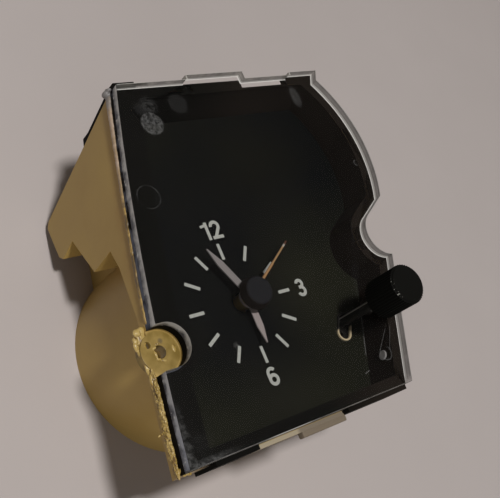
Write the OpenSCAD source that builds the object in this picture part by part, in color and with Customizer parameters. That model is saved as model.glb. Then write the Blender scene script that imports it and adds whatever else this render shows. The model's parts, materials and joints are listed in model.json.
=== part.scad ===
// Car dashboard clock, lifted out of an instrument cluster.
// The dial axis is Z, the hand axis is the origin, and z = 0 is the flat back of the movement tub.
// +Y is twelve o'clock, +X is three o'clock, and the dial faces +Z.

/* [Outline] */
// Height of the top edge above the hand axis
top_y = 65; // [62:0.5:68]
// Depth of the bottom edge below the hand axis
bottom_y = 38.5; // [37:0.5:41]
// Left edge at the top corner, left of the hand axis
left_top = 21.5; // [19:0.5:24]
// Left edge at the bottom corner, left of the hand axis
left_bottom = 44; // [42:0.5:46]
// How far the left edge bulges outwards
left_bulge = 2.1; // [1.4:0.1:3]
// Radius of the bulging right edge
bulge_r = 44.5; // [43:0.5:46]
// Centre of the right bulge, right of the hand axis
bulge_x = 16; // [14:0.5:18]
// Centre of the right bulge, above the hand axis
bulge_y = 36; // [34:0.5:38]
// Right end of the square top corner
corner_x = 54.5; // [53:0.5:56]
// Depth of the square top corner below the top edge
corner_h = 6.5; // [5:0.5:8]
// How far the right side of the square top corner leans inwards
corner_lean = 3.2; // [2:0.1:3.6]
// Right end of the bottom edge
bottom_right = 35; // [33:0.5:37]

/* [Notches] */
// Right notch centre, right of the hand axis
notch_x = 51.5; // [50.5:0.5:53]
// Right notch centre, above the hand axis
notch_y = 6.5; // [5:0.5:8]
// Right notch radius
notch_r = 7.3; // [6.5:0.1:8]
// Angle at which the right notch opens upwards
notch_flare = 31; // [25:1:38]
// Screw ear centre, left of the hand axis
ear_x = 36.2; // [35.5:0.1:37]
// Screw ear centre, below the hand axis
ear_y = 8.4; // [7:0.1:10]
// Radius of the notch round the screw ear
ear_notch_r = 5.9; // [5.4:0.1:6.4]
// Radius of the screw hole in the ear
ear_hole_r = 1.75; // [1.4:0.05:2.2]
// Thickness of the ear
ear_t = 3; // [2:0.2:4]

/* [Depths] */
// Front face of the dial above the back of the tub
dial_z = 46; // [45:0.5:48]
// Free height between the dial and the lens
chamber_h = 11; // [10.5:0.5:13]
// Thickness of the lens
lens_t = 3; // [2:0.2:4]
// Thickness of the dial plate
dial_t = 0.8; // [0.5:0.1:1.2]
// Thickness of the mask's flange under the lens
flange_t = 2.4; // [1.6:0.2:3]
// Thickness of the mask's floor under the dial
mask_floor = 2; // [1.5:0.1:2.4]

/* [Shells] */
// Wall of the housing
wall = 1.8; // [1.4:0.1:2.2]
// Wall of the black mask
mask_wall = 1.4; // [1:0.1:1.8]
// Gap between the mask and the housing
mask_fit = 0.2; // [0.1:0.05:0.4]
// Extra inset of the mask and dial behind the left rim
left_step = 5; // [4:0.5:6]
// Room from the setting wheel's stud to the outside of the movement tub
tub_margin = 4.8; // [4.2:0.1:6]
// Width of the ledge that the movement seats against
ledge = 2.2; // [1.6:0.2:2.6]

/* [Light box] */
// Drop of the light box's top wall from its front to its back
horn_drop = 14.5; // [12:0.5:17]
// Height of the light box's back corner above the tub's back
horn_back = 3; // [2:0.5:4]
// Lower edge of the slanted back, above the hand axis
horn_low_y = 36.5; // [36:0.1:37]
// Rise of the slanted back from the back corner to its lower edge
horn_low_h = 6.6; // [6:0.1:7]
// Undercut of the step in front of the slanted back
horn_step = 2.2; // [1.8:0.1:2.4]
// Top edge of the root, where the light box leaves the rim, above the hand axis
horn_root_y = 23.7; // [23:0.1:25]
// Height of the step's front edge above the back corner
horn_shelf_h = 17.4; // [17:0.1:18]
// Height of the root's back edge above the back corner
horn_root_h = 29; // [28:0.5:30]

/* [Hands] */
// Hour hand, clockwise from twelve
hour_deg = 180; // [0:1:359]
// Minute hand, clockwise from twelve
minute_deg = 333.5; // [0:0.5:359]
// Second hand, clockwise from twelve
second_deg = 56; // [0:1:359]
// Length of the hour hand
hour_len = 13.6; // [12:0.2:15]
// Length of the minute hand
minute_len = 18; // [16:0.2:20]
// Length of the second hand
second_len = 23; // [20:0.2:25]
// Width of the hour and minute hands
hand_w = 2.2; // [1.6:0.1:2.8]
// Thickness of the hands
hand_t = 0.4; // [0.3:0.05:0.6]
// Height of the hour hand above the dial
hour_h = 3.3; // [3:0.1:3.6]
// Step from one hand up to the next
hand_step = 1.4; // [1.1:0.1:1.6]
// Radius of the black cap over the hands
cap_r = 4.9; // [4.4:0.1:5.2]
// Height of the cap
cap_h = 3.3; // [2.6:0.1:3.6]

/* [Setting knob] */
// Radius of the knob over its ribs
knob_r = 6; // [5:0.1:6.2]
// Length of the knob
knob_len = 12; // [9:0.5:13]
// Ribs round the knob
knob_ribs = 44; // [30:2:60]
// Gap between the lens and the knob's collar
knob_gap = 2.5; // [2.2:0.1:4]
// Length of the collar behind the knob
collar_len = 1.5; // [1:0.1:2]
// Radius of the setting shaft
shaft_r = 1.5; // [1.2:0.05:1.7]
// How far the knob pushes in
push = 1.8; // [1.5:0.1:2]
// Direction of the knob from the hand axis
set_dir = -22.7; // [-26:0.1:-20]

/* [Movement] */
// Module of the setting gears
set_m = 0.5; // [0.49:0.002:0.51]
// Module of the seconds gears
train_m = 0.3; // [0.29:0.002:0.31]
// Module of the pair that drives the seconds wheel
drive_m = 0.35; // [0.345:0.001:0.36]
// Radius of the train arbors
arbor_r = 0.6; // [0.5:0.05:0.65]
// Running clearance of arbors and tubes in their bores
run = 0.06; // [0.04:0.01:0.09]
// Thickness of the movement plates
plate_t = 1.2; // [1:0.1:1.5]
// Room between the two movement plates
train_h = 10; // [9.6:0.1:10.6]
// Thickness of the circuit board
board_t = 1.6; // [1.2:0.2:2]
// Thickness of the rear cover
cover_t = 2.2; // [1.8:0.2:2.6]

// Depth of the connector well in the rear cover
well_depth = 8; // [7:0.2:9]
// Wall of the connector well
well_wall = 1.2; // [1:0.1:1.6]

/* [Hidden] */
$fn = 64;
far = 200;
eps = 0.05;

cream = "#d8bf86";
black = "#20201f";
brass = "#c9a552";
steel = "#b9bcc0";

// Levels along the dial axis
lens_back = dial_z + chamber_h;
lens_front = lens_back + lens_t;
rim_z = lens_back - flange_t;
dial_back = dial_z - dial_t;
mask_back = dial_back - mask_floor;
floor_z = mask_back - wall;

horn_heel_h = 1.2;
horn_slope = horn_drop / (rim_z - horn_back - horn_heel_h);

// Left edge: an arc through both corners with the given bulge
left_chord = [left_bottom - left_top, top_y + bottom_y];
left_half = norm(left_chord) / 2;
left_r = (left_half * left_half + left_bulge * left_bulge) / (2 * left_bulge);
left_mid = [-(left_top + left_bottom) / 2, (top_y - bottom_y) / 2];
left_c = left_mid + (left_r - left_bulge) / (2 * left_half) * [left_chord.y, -left_chord.x];

// Lower right edge runs from the bottom corner to the lip of the right notch
lip = [notch_x - 1.2, notch_y - notch_r];
lower_right = [bottom_right, -bottom_y];
edge_dir = atan2(lip.y - lower_right.y, lip.x - lower_right.x);

// Setting chain in one line from the hand axis to the knob
cannon_n = 12;
motion_n = 36;
setting_n = 24;
set_n = 12;
motion_pinion_n = 10;
hour_n = 40;
motion_at = (cannon_n + motion_n) * set_m / 2;
setting_at = motion_at + (motion_n + setting_n) * set_m / 2;
set_at = setting_at + (setting_n + set_n) * set_m / 2;
hour_m = 2 * motion_at / (motion_pinion_n + hour_n);

// Tub and movement plates, sized to hold the setting wheel's stud
plate_fit = 0.2;
tub_r = setting_at + tub_margin;
plate_r = tub_r - wall - plate_fit;

// Seconds train
second_n = 50;
second_pinion_n = 8;
third_n = 60;
third_pinion_n = 8;
centre_n = 64;
intermediate_n = 48;
intermediate_pinion_n = 10;
rotor_n = 8;
third_dir = 80;
intermediate_dir = 200;
rotor_dir = 235;
third_at = (second_pinion_n + third_n) * train_m / 2;
centre_m = 2 * third_at / (third_pinion_n + centre_n);
intermediate_at = (intermediate_pinion_n + second_n) * drive_m / 2;
rotor_gap = (rotor_n + intermediate_n) * train_m / 2;

function polar(r, a) = [r * cos(a), r * sin(a)];
motion_p = polar(motion_at, set_dir);
setting_p = polar(setting_at, set_dir);
set_p = polar(set_at, set_dir);
third_p = polar(third_at, third_dir);
intermediate_p = polar(intermediate_at, intermediate_dir);
rotor_p = intermediate_p + polar(rotor_gap, rotor_dir);
ear_p = [-ear_x, -ear_y];
notch_p = [notch_x, notch_y];

// Levels of the movement
front_plate_z = mask_back - 9 - plate_t;
plate_front = front_plate_z + plate_t;
back_plate_front = front_plate_z - train_h;
back_plate_z = back_plate_front - plate_t;
motion_z = plate_front + 0.8;
wheel_t = 0.8;
motion_t = 1.4;
setting_t = 2.4;
pinion_t = 1.6;
hour_wheel_z = motion_z + 1.9;
set_pinion_z = motion_z + setting_t + 0.6;
centre_z = front_plate_z - 1.6;
third_z = back_plate_front + 4.6;
second_z = back_plate_front + 1.2;
intermediate_z = back_plate_front + 3;
stator_z = back_plate_front + 5;
stator_t = 1.2;
board_z = well_depth + well_wall + 0.8;
board_r = plate_r - 7.4;

// Concentric tubes on the hand axis, from the inside out
centre_tube_r = arbor_r + run + 0.55;
cannon_in = centre_tube_r + run;
cannon_r = cannon_in + 0.55;
hour_in = cannon_r + run;
hour_r = hour_in + 0.6;
dial_hole_r = hour_r + 0.5;

// Hand levels
hour_z = dial_z + hour_h;
minute_z = hour_z + hand_step;
second_z_hand = minute_z + hand_step;
cap_z = second_z_hand + hand_t;

// Setting shaft levels
collar_z = lens_front + knob_gap;
collar_r = 0.7 * knob_r;
knob_z = collar_z + collar_len;
knob_top = knob_z + knob_len;
spigot_r = 1;
spring_wire = 0.4;
spring_r = spigot_r + run + 0.25 + spring_wire / 2;
washer_t = 0.5;
spring_top = set_pinion_z - washer_t;
spring_seat = plate_front - 3;
tip_z = spring_seat - push - 0.4;
bush_back = set_pinion_z + pinion_t + 0.3;
bush_r = 2.6;
bush_shift = polar(4, 240);
lobe_r = setting_n * set_m / 2 + 2.6;
lobe_wall = 1.6;

// Gear geometry
pressure = 30;
addendum = 0.8;
dedendum = 1.1;
backlash = 0.14;
flat_bore = 12;

function involute(a) = tan(a) * 180 / PI - a;
function flank(n, m, r) = 90 / n - backlash * 90 / PI / n + involute(pressure)
    - involute(acos(n * m / 2 * cos(pressure) / r));
function tooth_radii(n, m) =
    let (r = n * m / 2, base = r * cos(pressure), root = r - dedendum * m)
    concat([max(base, root)], [r, r + addendum * m]);
function tooth_half(n, m) =
    let (radii = tooth_radii(n, m), root = n * m / 2 - dedendum * m)
    concat([[root, flank(n, m, radii[0])]], [for (r = radii) if (r > root + 0.001) [r, flank(n, m, r)]]);
function gear_points(n, m) = [for (k = [0 : n - 1])
    let (half = tooth_half(n, m), last = len(half) - 1, at = k * 360 / n)
    each concat([for (p = half) polar(p[0], at - p[1])],
        [for (i = [last : -1 : 0]) polar(half[i][0], at + half[i][1])])];
// Turn of a gear of n2 teeth so that it meshes with one of n1 teeth turned by a1, lying towards dir
function mesh(n1, a1, n2, dir) = dir + 180 - (a1 - dir) * n1 / n2 - 180 / n2;

// Inset of a polygon that runs anticlockwise: each side moves inwards by d
function side_normal(p, q) = let (v = q - p) [-v.y, v.x] / norm(v);
function crossing(p, u, q, v) = p + u * cross(q - p, v) / cross(u, v);
function inset(pts, d) = let (n = len(pts)) [for (i = [0 : n - 1])
    let (a = pts[(i + n - 1) % n], b = pts[i], c = pts[(i + 1) % n])
    crossing(a + d * side_normal(a, b), b - a, b + d * side_normal(b, c), c - b)];

// Gear turns
cannon_turn = 0;
motion_turn = mesh(cannon_n, cannon_turn, motion_n, set_dir);
setting_turn = mesh(motion_n, motion_turn, setting_n, set_dir);
set_turn = mesh(setting_n, setting_turn, set_n, set_dir);
hour_turn = mesh(motion_pinion_n, motion_turn, hour_n, set_dir + 180);
second_turn = 0;
third_turn = mesh(second_pinion_n, second_turn, third_n, third_dir);
centre_turn = mesh(third_pinion_n, third_turn, centre_n, third_dir + 180);
intermediate_turn = mesh(second_n, second_turn, intermediate_pinion_n, intermediate_dir);
rotor_turn = mesh(intermediate_n, intermediate_turn, rotor_n, rotor_dir);

// Plan outline, every edge moved inwards by d and the left one by a further dl
module right_notch(d) {
    r = notch_r + d;
    start = notch_p + polar(r - hair, notch_flare + 90);
    translate(notch_p) circle(r);
    polygon([notch_p, notch_p - [0, r], notch_p + [far, -r], notch_p + [far, far],
        start + polar(far, notch_flare), start]);
}

module ear_notch(d) {
    translate(ear_p) circle(ear_notch_r + d);
    translate(ear_p - [far, ear_notch_r + d]) square([far, 2 * (ear_notch_r + d)]);
}

module whole_plan(d, dl = 0) {
    intersection() {
        translate([-far, d - bottom_y]) square([2 * far, top_y + bottom_y - 2 * d]);
        translate(left_c) circle(left_r - d - dl, $fn = 400);
        union() {
            intersection() {
                translate(lower_right) rotate(edge_dir) translate([-far, d]) square(2 * far);
                translate([-far, -bottom_y]) square([far + lip.x - d, bottom_y + bulge_y]);
            }
            translate([bulge_x, bulge_y]) circle(bulge_r - d, $fn = 128);
            translate([-far, lip.y]) square([far + bulge_x, far]);
            polygon([[0, top_y - corner_h + d], [corner_x - corner_lean - d, top_y - corner_h + d],
                [corner_x - d, top_y], [corner_x - d, far], [0, far]]);
        }
    }
}

module plan(d, dl = 0) {
    difference() {
        whole_plan(d, dl);
        right_notch(d);
        ear_notch(d);
    }
}

module slab(z0, z1, d, dl = 0) {
    translate([0, 0, z0]) linear_extrude(z1 - z0) plan(d, dl);
}

// Room below the light box's sloping top wall, moved inwards by d
function roof_y(z, d) = top_y - (rim_z - z) * horn_slope - d;
function roof(d) = [[-far, -1], [roof_y(-1, d), -1], [roof_y(rim_z, d), rim_z], [far, rim_z], [far, far],
    [-far, far]];

// Stretches a profile drawn as (y, z) right across the part
module across(points) {
    translate([-far, 0, 0]) rotate([90, 0, 90]) linear_extrude(2 * far) polygon(points);
}

module under_roof(d) {
    intersection() {
        union() children();
        across(roof(d));
    }
}

module tray(z0, z1, d) {
    under_roof(d) slab(z0, z1, d, left_step);
}

// Two circles with a bar between them, its sides a hair inside the tangents so that the joins stay sharp
hair = 0.03;
module stadium(r, shift) {
    circle(r);
    translate(shift) circle(r);
    rotate(atan2(shift.y, shift.x)) translate([0, hair - r]) square([norm(shift), 2 * (r - hair)]);
}

module at(p, z) {
    translate([p.x, p.y, z]) children();
}

module rod(p, z0, z1, r) {
    at(p, z0) cylinder(h = z1 - z0, r = r);
}

module tube(z0, z1, outer, inner) {
    difference() {
        rod([0, 0], z0, z1, outer);
        rod([0, 0], z0 - 1, z1 + 1, inner);
    }
}

// Toothed wheel with a flat-sided bore and, for large ones, round windows
module gear(n, m, t, turn, bore, windows = 0) {
    root = n * m / 2 - dedendum * m;
    mid = (root + bore) / 2;
    linear_extrude(t) difference() {
        rotate(turn) polygon(gear_points(n, m));
        circle(bore / cos(180 / flat_bore), $fn = flat_bore);
        for (k = [0 : 1 : windows - 1])
            rotate(k * 360 / windows) translate([mid, 0]) circle((root - bore) * 0.3, $fn = flat_bore);
    }
}

// Lens: flat clear plate with a raised tongue and a dip along its top edge
tongue_x = 2.5;
tongue_w = 21.5;
tongue_h = 1.5;
dip_w = 18.4;
dip_room = 2.6;
lens_dip = 1;
mask_dip = 2.6;
dip_depth = 3.6;
lens_hole_r = shaft_r + 0.6;

module lens() {
    color("#cfd6d4", 0.35) translate([0, 0, lens_back]) linear_extrude(lens_t) difference() {
        union() {
            plan(0);
            translate([tongue_x, top_y - 1]) square([tongue_w, 1 + tongue_h]);
        }
        translate([tongue_x + tongue_w, top_y - lens_dip]) square([dip_w, far]);
        translate(set_p) circle(lens_hole_r);
    }
}

// Mask: black tray with a flange under the lens, skirts along the bottom and a clip over the top wall
mask_in = wall + mask_fit;
skirt_t = 1.3;
skirt_h = 11;
skirts = [[-35, 13.8], [10.9, 23.7]];
clip_x = -24;
clip_w = 10.5;
clip_inset = 0.4;
clip_t = 1.9;
clip_barb = 1;
clip_len = 20;
rivet_r = 1;
rivet_rim = 0.45;
rivet_at = 9.6;
rivet_z = dial_z + 7.2;
light_window = [40, 20];
light_window_p = [14, 42];

module top_dip(more = 0) {
    translate([tongue_x + tongue_w, top_y - mask_dip, rim_z - dip_depth]) cube([dip_w + more, far, far]);
}

module along_edge_normal(z, reach) {
    at(lower_right + polar(rivet_at, edge_dir), z) rotate([0, 0, edge_dir - 90]) rotate([0, 90, 0])
        translate([0, 0, -reach]) children();
}

module rivet_hole() {
    reach = 2 * (mask_in + mask_wall);
    along_edge_normal(rivet_z, reach) cylinder(h = 2 * reach, r = rivet_r);
}

module mask() {
    top_line = function (z) roof_y(z, -mask_fit);
    color(black) {
        difference() {
            union() {
                slab(rim_z, lens_back, 0);
                tray(mask_back, rim_z + eps, mask_in);
                for (s = skirts) {
                    translate([s[0], -bottom_y - skirt_t, rim_z]) cube([s[1], skirt_t + 1, flange_t]);
                    translate([s[0], -bottom_y - skirt_t, lens_back - skirt_h])
                        cube([s[1], skirt_t - mask_fit, skirt_h]);
                }
            }
            tray(dial_back, lens_back + 1, mask_in + mask_wall);
            top_dip();
            rod([0, 0], 0, dial_z, dial_hole_r);
            at(set_p, 0) linear_extrude(dial_z) stadium(bush_r + run, bush_shift);
            translate([light_window_p.x - light_window.x / 2, light_window_p.y - light_window.y / 2, 0])
                cube([light_window.x, light_window.y, dial_z]);
            rivet_hole();
        }
        intersection() {
            translate([clip_x, 0, 0]) cube([clip_w, far, far]);
            translate(left_c) linear_extrude(far) circle(left_r - clip_inset, $fn = 400);
            across([[top_line(lens_back), lens_back], [top_line(rim_z) - 1, lens_back],
                [top_line(rim_z) - 1, rim_z + eps], [top_line(rim_z - eps), rim_z - eps],
                [top_line(rim_z - clip_len), rim_z - clip_len],
                [top_line(rim_z - clip_len) + clip_t + clip_barb, rim_z - clip_len],
                [top_line(rim_z - clip_len) + clip_t + clip_barb, rim_z - clip_len + 2.5],
                [top_line(rim_z - clip_len + 4) + clip_t, rim_z - clip_len + 4],
                [top_line(rim_z) + clip_t, rim_z], [top_line(rim_z) + clip_t, lens_back]]);
        }
    }
}

// Push rivet that pins the mask's wall to the housing's wall
module mask_rivet() {
    head_t = 0.7;
    stack = mask_in + mask_wall;
    color("white") along_edge_normal(rivet_z, stack) {
        cylinder(h = stack, r = rivet_r);
        translate([0, 0, -head_t]) cylinder(h = head_t, r = rivet_r + rivet_rim);
    }
}

// Dial plate: black sheet on the mask's floor
module dial_plate() {
    dial_gap = 0.3;
    color("#262625") difference() {
        tray(dial_back, dial_z, mask_in + mask_wall + dial_gap);
        rod([0, 0], 0, far, dial_hole_r);
        at(set_p, 0) linear_extrude(far) stadium(bush_r + run, bush_shift);
    }
}

// Hands: flat blades on hubs, turned clockwise from twelve
hour_taper = 5;
minute_taper = 5.5;
tip_w = 0.3;
hub_wall = 0.6;
press = 0.01;

module blade(deg, z, length, base_w, end_w, taper, hub_r, bore) {
    translate([0, 0, z]) rotate(-deg) linear_extrude(hand_t) difference() {
        union() {
            circle(hub_r);
            polygon([[-base_w / 2, 0], [base_w / 2, 0], [base_w / 2, length - taper],
                [end_w / 2, length], [-end_w / 2, length], [-base_w / 2, length - taper]]);
        }
        circle(bore);
    }
}

module hour_hand() {
    color("#f3e9e4")
        blade(hour_deg, hour_z, hour_len, hand_w, tip_w, hour_taper, hour_r + hub_wall, hour_r + press);
}

module minute_hand() {
    color("#f3e9e4")
        blade(minute_deg, minute_z, minute_len, hand_w, tip_w, minute_taper, cannon_r + hub_wall,
            cannon_r + press);
}

module second_hand() {
    broad = 13.4;
    broad_w = 1.35;
    thin_w = 0.55;
    color("#e8703a") {
        blade(second_deg, second_z_hand, broad, broad_w, broad_w - 0.2, 0.6, cap_r - 1.6, arbor_r + press);
        blade(second_deg, second_z_hand, second_len, thin_w, thin_w - 0.1, 1, arbor_r + 1, arbor_r + press);
    }
}

module hand_cap() {
    top_round = 0.5;
    color(black) translate([0, 0, cap_z]) rotate_extrude() polygon([[0, 0.6], [arbor_r + 0.5, 0.6],
        [arbor_r + 0.5, 0], [cap_r, 0], [cap_r, cap_h - top_round], [cap_r - top_round, cap_h], [0, cap_h]]);
}

// Setting knob with straight ribs, a smooth front rim and a collar behind
module set_knob() {
    rib = 0.28;
    rim_h = 0.6;
    rim_r = knob_r - rib - 0.1;
    socket = 8;
    color(black) difference() {
        union() {
            at(set_p, knob_z) linear_extrude(knob_len - rim_h) polygon([for (k = [0 : 2 * knob_ribs - 1])
                polar(knob_r - rib * (k % 2), k * 180 / knob_ribs)]);
            at(set_p, knob_top - rim_h) cylinder(h = rim_h, r1 = rim_r, r2 = rim_r - rim_h / 2);
            rod(set_p, collar_z, knob_z + eps, collar_r);
        }
        rod(set_p, collar_z - 1, knob_z + socket, shaft_r + 0.01);
    }
}

module set_shaft() {
    socket = 7.5;
    color("#4a4b4d") {
        rod(set_p, set_pinion_z, knob_z + socket, shaft_r);
        rod(set_p, tip_z, set_pinion_z + eps, spigot_r);
    }
}

module set_pinion() {
    color(brass) at(set_p, set_pinion_z) gear(set_n, set_m, pinion_t, set_turn, shaft_r + 0.01);
}

// Cream bush that guides the shaft, with the long eye seen in the dial
module shaft_bush() {
    rise = 0.5;
    eye_depth = 1.6;
    color(cream) difference() {
        at(set_p, bush_back) linear_extrude(dial_z + rise - bush_back) stadium(bush_r, bush_shift);
        at(set_p, dial_z + rise - eye_depth) linear_extrude(far) stadium(bush_r - 0.6, bush_shift);
        rod(set_p, 0, far, shaft_r + run);
        rod(set_p + bush_shift, dial_z - 3, far, 0.6);
    }
}

module spring_washer() {
    color(steel) difference() {
        rod(set_p, spring_top, set_pinion_z, spring_r + 0.6);
        rod(set_p, 0, far, spigot_r + run);
    }
}

// Return spring: one round tube swept along a helix with closed ends
spring_turns = 6;
spring_rings = 12;
spring_sides = 6;
spring_steps = spring_turns * spring_rings;
spring_rise = spring_top - spring_seat - spring_wire - 2 * eps;
function spring_point(i) = concat(polar(spring_r, i * 360 / spring_rings),
    spring_wire / 2 + eps + spring_rise * i / spring_steps);
function spring_ring(i) = let (c = spring_point(i), a = i * 360 / spring_rings)
    [for (k = [0 : spring_sides - 1]) let (b = k * 360 / spring_sides)
        c + spring_wire / 2 * [cos(b) * cos(a), cos(b) * sin(a), sin(b)]];
spring_gap = spring_rise / spring_turns - spring_wire;
echo(spring_gap = spring_gap);

module set_spring() {
    count = spring_steps + 1;
    points = [for (i = [0 : spring_steps]) each spring_ring(i)];
    start = [for (k = [1 : spring_sides - 2]) [0, k, k + 1]];
    last = spring_steps * spring_sides;
    finish = [for (k = [1 : spring_sides - 2]) [last, last + k + 1, last + k]];
    sides = [for (i = [0 : count - 2], k = [0 : spring_sides - 1])
        let (a = i * spring_sides + k, b = i * spring_sides + (k + 1) % spring_sides)
        each [[a, a + spring_sides, b], [b, a + spring_sides, b + spring_sides]]];
    color(steel) at(set_p, spring_seat) polyhedron(points, concat(start, sides, finish), convexity = 8);
}

// Setting and motion wheels, in front of the front plate
stud_r = 0.8;

module stud(p, top) {
    color(steel) {
        rod(p, front_plate_z, top, stud_r);
        rod(p, plate_front, motion_z - run, stud_r + 0.7);
    }
}

module setting_wheel() {
    color(brass) at(setting_p, motion_z) gear(setting_n, set_m, setting_t, setting_turn, stud_r + run, 4);
}

module setting_stud() {
    stud(setting_p, motion_z + setting_t + 0.3);
}

module motion_wheel() {
    color(brass) {
        at(motion_p, motion_z) gear(motion_n, set_m, motion_t, motion_turn, stud_r + run, 5);
        at(motion_p, motion_z) gear(motion_pinion_n, hour_m, hour_wheel_z - motion_z + pinion_t, motion_turn,
            stud_r + run);
    }
}

module motion_stud() {
    stud(motion_p, hour_wheel_z + pinion_t + 0.3);
}

module hour_wheel() {
    color(brass) translate([0, 0, hour_wheel_z]) gear(hour_n, hour_m, motion_t - 0.2, hour_turn, hour_r + 0.01, 5);
}

module hour_tube() {
    color(brass) tube(hour_wheel_z, hour_z + hand_t + 0.3, hour_r, hour_in);
}

module cannon_pinion() {
    color(brass) translate([0, 0, motion_z]) gear(cannon_n, set_m, pinion_t, cannon_turn, cannon_r + 0.01);
}

module cannon_tube() {
    color(steel) tube(motion_z - 0.3, minute_z + hand_t + 0.3, cannon_r, cannon_in);
}

// Seconds train, between the plates
module centre_wheel() {
    color(brass) translate([0, 0, centre_z]) gear(centre_n, centre_m, wheel_t, centre_turn, centre_tube_r + 0.01, 5);
}

module centre_tube() {
    color(steel) tube(centre_z, minute_z - 0.4, centre_tube_r, arbor_r + run);
}

module third_wheel() {
    color(brass) {
        at(third_p, third_z) gear(third_n, train_m, wheel_t, third_turn, arbor_r + 0.01, 5);
        at(third_p, third_z) gear(third_pinion_n, centre_m, centre_z + wheel_t + 0.4 - third_z, third_turn,
            arbor_r + 0.01);
    }
}

module train_arbor(p) {
    color(steel) rod(p, back_plate_z, plate_front, arbor_r);
}

module third_arbor() {
    train_arbor(third_p);
}

module second_wheel() {
    color(brass) {
        translate([0, 0, second_z]) gear(second_n, drive_m, wheel_t, second_turn, arbor_r + 0.01, 5);
        translate([0, 0, second_z]) gear(second_pinion_n, train_m, third_z + wheel_t + 0.6 - second_z, second_turn,
            arbor_r + 0.01);
    }
}

module second_arbor() {
    color(steel) rod([0, 0], back_plate_z, cap_z + 0.5, arbor_r);
}

module intermediate_wheel() {
    pinion_z = second_z - 0.6;
    color("#e9e4d6") {
        at(intermediate_p, intermediate_z)
            gear(intermediate_n, train_m, wheel_t, intermediate_turn, arbor_r + 0.01, 5);
        at(intermediate_p, pinion_z) gear(intermediate_pinion_n, drive_m, intermediate_z + wheel_t - pinion_z,
            intermediate_turn, arbor_r + 0.01);
    }
}

module intermediate_arbor() {
    train_arbor(intermediate_p);
}

// Stepping motor: magnet rotor in a flat stator with its coil
magnet_r = 3;
magnet_z = stator_z - 0.6;
magnet_t = 2.6;
pillar_r = 1.5;
pillar_at = plate_r - 4.4;
coil_len = 16;
coil_r = 3.2;
coil_flange = 0.3;
coil_y = pillar_r + coil_r + coil_flange - pillar_at;
core_w = 2;
leg_w = 3.6;
core_left = -coil_len / 2 - leg_w - 3.4;
core_right = coil_len / 2 + leg_w + 1.4;

module rotor_pinion() {
    color("#e9e4d6") at(rotor_p, intermediate_z - 0.5)
        gear(rotor_n, train_m, magnet_z - intermediate_z + 0.5, rotor_turn, arbor_r + 0.01);
}

module rotor_magnet() {
    color("#55524e") difference() {
        rod(rotor_p, magnet_z, magnet_z + magnet_t, magnet_r);
        rod(rotor_p, 0, far, arbor_r + 0.01);
    }
}

module rotor_arbor() {
    train_arbor(rotor_p);
}

module stator() {
    air_gap = 0.5;
    ring = 2.2;
    color("#8d8f92") translate([0, 0, stator_z]) linear_extrude(stator_t) difference() {
        union() {
            translate(rotor_p) circle(magnet_r + air_gap + ring);
            translate([core_left, coil_y - core_w / 2]) square([core_right - core_left, core_w]);
            translate([core_left, coil_y - leg_w / 2]) square([leg_w, rotor_p.y - coil_y + leg_w / 2]);
            translate([core_right - leg_w, coil_y - leg_w / 2]) square([leg_w, rotor_p.y - coil_y + leg_w]);
            translate([rotor_p.x, rotor_p.y - leg_w / 2]) square([core_right - rotor_p.x, leg_w]);
        }
        translate(rotor_p) circle(magnet_r + air_gap);
    }
}

module stator_posts() {
    post_r = 1.2;
    color(brass) for (x = [core_left + leg_w / 2, core_right - leg_w / 2])
        rod([x, coil_y], back_plate_front, stator_z, post_r);
}

module motor_coil() {
    flange = 0.8;
    fit = 0.08;
    color("#a4552a") translate([-coil_len / 2, coil_y, stator_z + stator_t / 2]) difference() {
        rotate([0, 90, 0]) union() {
            cylinder(h = coil_len, r = coil_r);
            for (z = [0, coil_len - flange]) translate([0, 0, z]) cylinder(h = flange, r = coil_r + coil_flange);
        }
        translate([-1, -core_w / 2 - fit, -stator_t / 2 - fit]) cube([far, core_w + 2 * fit, stator_t + 2 * fit]);
    }
}

// Movement plates and what joins them
pillar_dirs = [30, 150, 270];
post_dirs = [90, 210, 330];
post_r = 1.3;
post_at = board_r - 3;

module pivot_holes() {
    for (p = [third_p, intermediate_p, rotor_p]) rod(p, 0, far, arbor_r + run);
}

module front_plate() {
    color(brass) difference() {
        rod([0, 0], front_plate_z, plate_front, plate_r);
        rod([0, 0], 0, far, centre_tube_r + run);
        for (p = [motion_p, setting_p]) rod(p, 0, far, stud_r + 0.01);
        pivot_holes();
    }
}

module back_plate() {
    color(brass) difference() {
        rod([0, 0], back_plate_z, back_plate_front, pillar_at + pillar_r);
        rod([0, 0], 0, far, arbor_r + run);
        pivot_holes();
    }
}

module pillars() {
    color(steel) for (a = pillar_dirs) rod(polar(pillar_at, a), back_plate_front, front_plate_z, pillar_r);
}

// Circuit board with its parts, hung behind the back plate
chip = [10, 6.4, 3.4];
chip_p = [-14, 1];
crystal_p = [8, 4];
crystal_r = 2.2;
crystal_h = 7.5;
capacitor_p = [4, -12];
capacitor_r = 3;
capacitor_h = 8;

module circuit_board() {
    color("#8a7a3c") rod([0, 0], board_z, board_z + board_t, board_r);
}

module board_posts() {
    color(steel) for (a = post_dirs) rod(polar(post_at, a), board_z + board_t, back_plate_z, post_r);
}

module driver_chip() {
    color("#1d1d1f") at(chip_p, board_z + board_t) cube(chip);
}

module quartz_crystal() {
    color(steel) at(crystal_p, board_z + board_t) cylinder(h = crystal_h, r = crystal_r);
}

module capacitor() {
    color("#2f4a7a") at(capacitor_p, board_z + board_t) cylinder(h = capacitor_h, r = capacitor_r);
}

// Connector well in the rear cover with three flat blades
blade_w = 4.8;
blade_t = 0.8;
blade_pitch = 6.2;
blade_y = -11;
well = [20, 11];
well_p = [0, -8];
blade_end = 1;

module each_blade(grow) {
    for (k = [-1 : 1]) translate([k * blade_pitch - blade_w / 2 - grow, blade_y - blade_t / 2 - grow, 0])
        square([blade_w + 2 * grow, blade_t + 2 * grow]);
}

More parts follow.
